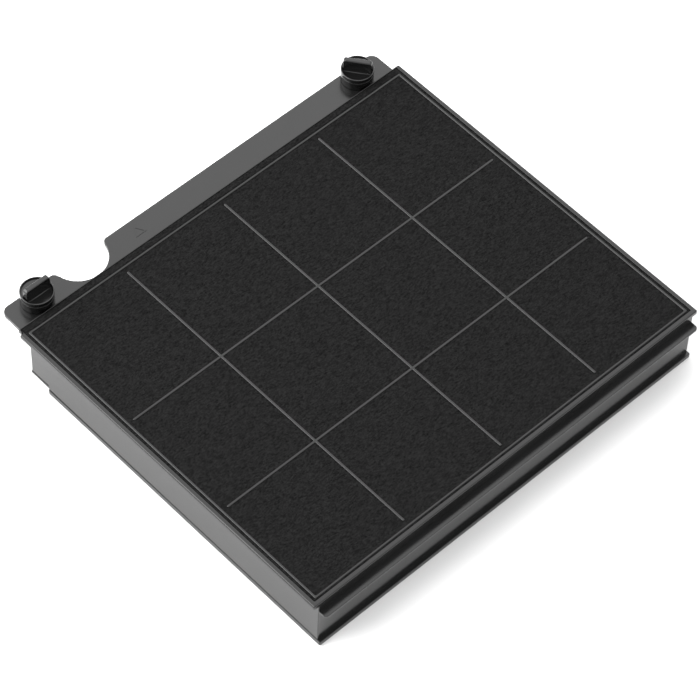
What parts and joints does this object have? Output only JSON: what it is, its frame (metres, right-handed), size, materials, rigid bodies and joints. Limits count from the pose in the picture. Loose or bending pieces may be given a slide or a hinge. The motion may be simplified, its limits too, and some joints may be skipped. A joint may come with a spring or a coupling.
{
  "type": "carbon fume filter cassette",
  "caption": "Flat rectangular activated-carbon fume filter cassette with a fleece face, a rimmed plastic housing, a front tongue and a latch tab with quarter-turn knobs.",
  "frame": {"origin": "on the bottom face of the cassette, under the middle of the divider grid", "axes": "+X along the latch side, +Y towards the latch tab, +Z from the bottom grille up through the fleece face"},
  "size_m": [0.2248, 0.2075, 0.04],
  "materials": {
    "housing_plastic": "satin",
    "frame_plastic": "satin",
    "knob_plastic": "gloss",
    "cam_plastic": "satin",
    "fleece": "matte",
    "carbon": "matte"
  },
  "bodies": {
    "cassette": {"housing": "housing_plastic", "cover_frame": "frame_plastic", "bead_frame": "frame_plastic", "face_ribs": "frame_plastic", "upper_fleece": "fleece", "divider_grid": "frame_plastic", "lower_fleece": "fleece", "bottom_grille": "frame_plastic", "carbon_bed_1_1": "carbon", "carbon_bed_1_2": "carbon", "carbon_bed_1_3": "carbon", "carbon_bed_1_4": "carbon", "carbon_bed_2_1": "carbon", "carbon_bed_2_2": "carbon", "carbon_bed_2_3": "carbon", "carbon_bed_2_4": "carbon", "carbon_bed_3_1": "carbon", "carbon_bed_3_2": "carbon", "carbon_bed_3_3": "carbon", "carbon_bed_3_4": "carbon"},
    "left_latch": {"left_knob": "knob_plastic", "left_cam": "cam_plastic"},
    "right_latch": {"right_knob": "knob_plastic", "right_cam": "cam_plastic"}
  },
  "joints": [
    {"name": "left_latch_turn", "type": "hinge", "parent": "cassette", "child": "left_latch", "pos_m": [-0.094, 0.1051, 0.028], "axis": [0, 0, 1], "range_deg": [0, 90]},
    {"name": "right_latch_turn", "type": "hinge", "parent": "cassette", "child": "right_latch", "pos_m": [0.094, 0.1051, 0.028], "axis": [0, 0, 1], "range_deg": [-37, 53]}
  ]
}
